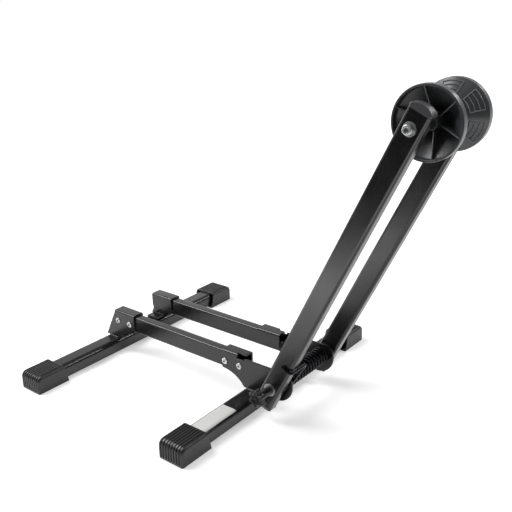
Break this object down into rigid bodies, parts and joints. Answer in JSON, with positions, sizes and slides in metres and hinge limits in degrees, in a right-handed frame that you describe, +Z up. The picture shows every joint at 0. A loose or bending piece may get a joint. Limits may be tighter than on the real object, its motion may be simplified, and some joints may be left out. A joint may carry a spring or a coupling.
{
  "type": "floor bike rack",
  "caption": "Low floor stand that holds a bicycle by one wheel: cross feet, wheel rails and sprung arms with a grooved roller.",
  "frame": {"origin": "on the floor, under the middle of the stand's whole length, in the plane of the wheel it holds", "axes": "+X along the rails towards the arms, +Y along the feet to the far side of the picture, +Z up"},
  "size_m": [0.547, 0.41, 0.4327],
  "materials": {
    "powder_coat": "satin black powder coat",
    "black_plastic": "black moulded plastic",
    "roller_plastic": "dark grey moulded plastic",
    "bright_zinc": "bright zinc plating",
    "plain_steel": "dull grey zinc plating",
    "black_steel": "black oxide",
    "nylon": "plain nylon"
  },
  "bodies": {
    "base": {"rear_foot_tube": "powder_coat", "front_foot_tube": "powder_coat", "rail_near": "powder_coat", "rail_far": "powder_coat", "rear_bracket_near": "powder_coat", "rear_bracket_far": "powder_coat", "front_bracket_near": "powder_coat", "front_bracket_far": "powder_coat", "rear_foot_cap_near": "black_plastic", "rear_foot_cap_far": "black_plastic", "front_foot_cap_near": "black_plastic", "front_foot_cap_far": "black_plastic", "rear_rail_plug_near": "black_plastic", "rear_rail_plug_far": "black_plastic", "front_rail_plug_near": "black_plastic", "front_rail_plug_far": "black_plastic", "rear_rivet_1_near": "bright_zinc", "rear_rivet_1_far": "bright_zinc", "rear_rivet_2_near": "bright_zinc", "rear_rivet_2_far": "bright_zinc", "front_rivet_1_near": "bright_zinc", "front_rivet_1_far": "bright_zinc", "front_rivet_2_near": "bright_zinc", "front_rivet_2_far": "bright_zinc", "pivot_washer_near": "plain_steel", "pivot_washer_far": "plain_steel", "pivot_axle": "black_steel", "torsion_spring": "black_steel", "spring_mandrel": "nylon", "thrust_washer_near": "nylon", "thrust_washer_far": "nylon"},
    "arms": {"arm_near": "powder_coat", "arm_far": "powder_coat", "arm_top_plug_near": "black_plastic", "arm_top_plug_far": "black_plastic", "arm_bottom_plug_near": "black_plastic", "arm_bottom_plug_far": "black_plastic", "roller_axle": "plain_steel", "roller_nut": "plain_steel", "roller_sleeve": "nylon", "roller_washer_near": "plain_steel", "roller_washer_far": "plain_steel", "roller_spacer_near": "nylon", "roller_spacer_far": "nylon"},
    "roller": {"roller_half_near": "roller_plastic", "roller_half_far": "roller_plastic"},
    "knob": {"star_knob": "black_plastic"}
  },
  "joints": [
    {"name": "arms_fold", "type": "hinge", "parent": "base", "child": "arms", "pos_m": [0.06467, 0, 0.0515], "axis": [0, -1, 0], "range_deg": [-15, 112], "stiffness_Nm_per_rad": 6, "springref_deg": 7.73, "deforming": ["torsion_spring"]},
    {"name": "roller_turn", "type": "hinge", "parent": "arms", "child": "roller", "pos_m": [0.23453, 0, 0.39366], "axis": [0, -1, 0], "continuous": true},
    {"name": "knob_turn", "type": "hinge", "parent": "base", "child": "knob", "pos_m": [0.06467, 0, 0.0515], "axis": [0, -1, 0], "continuous": true}
  ]
}
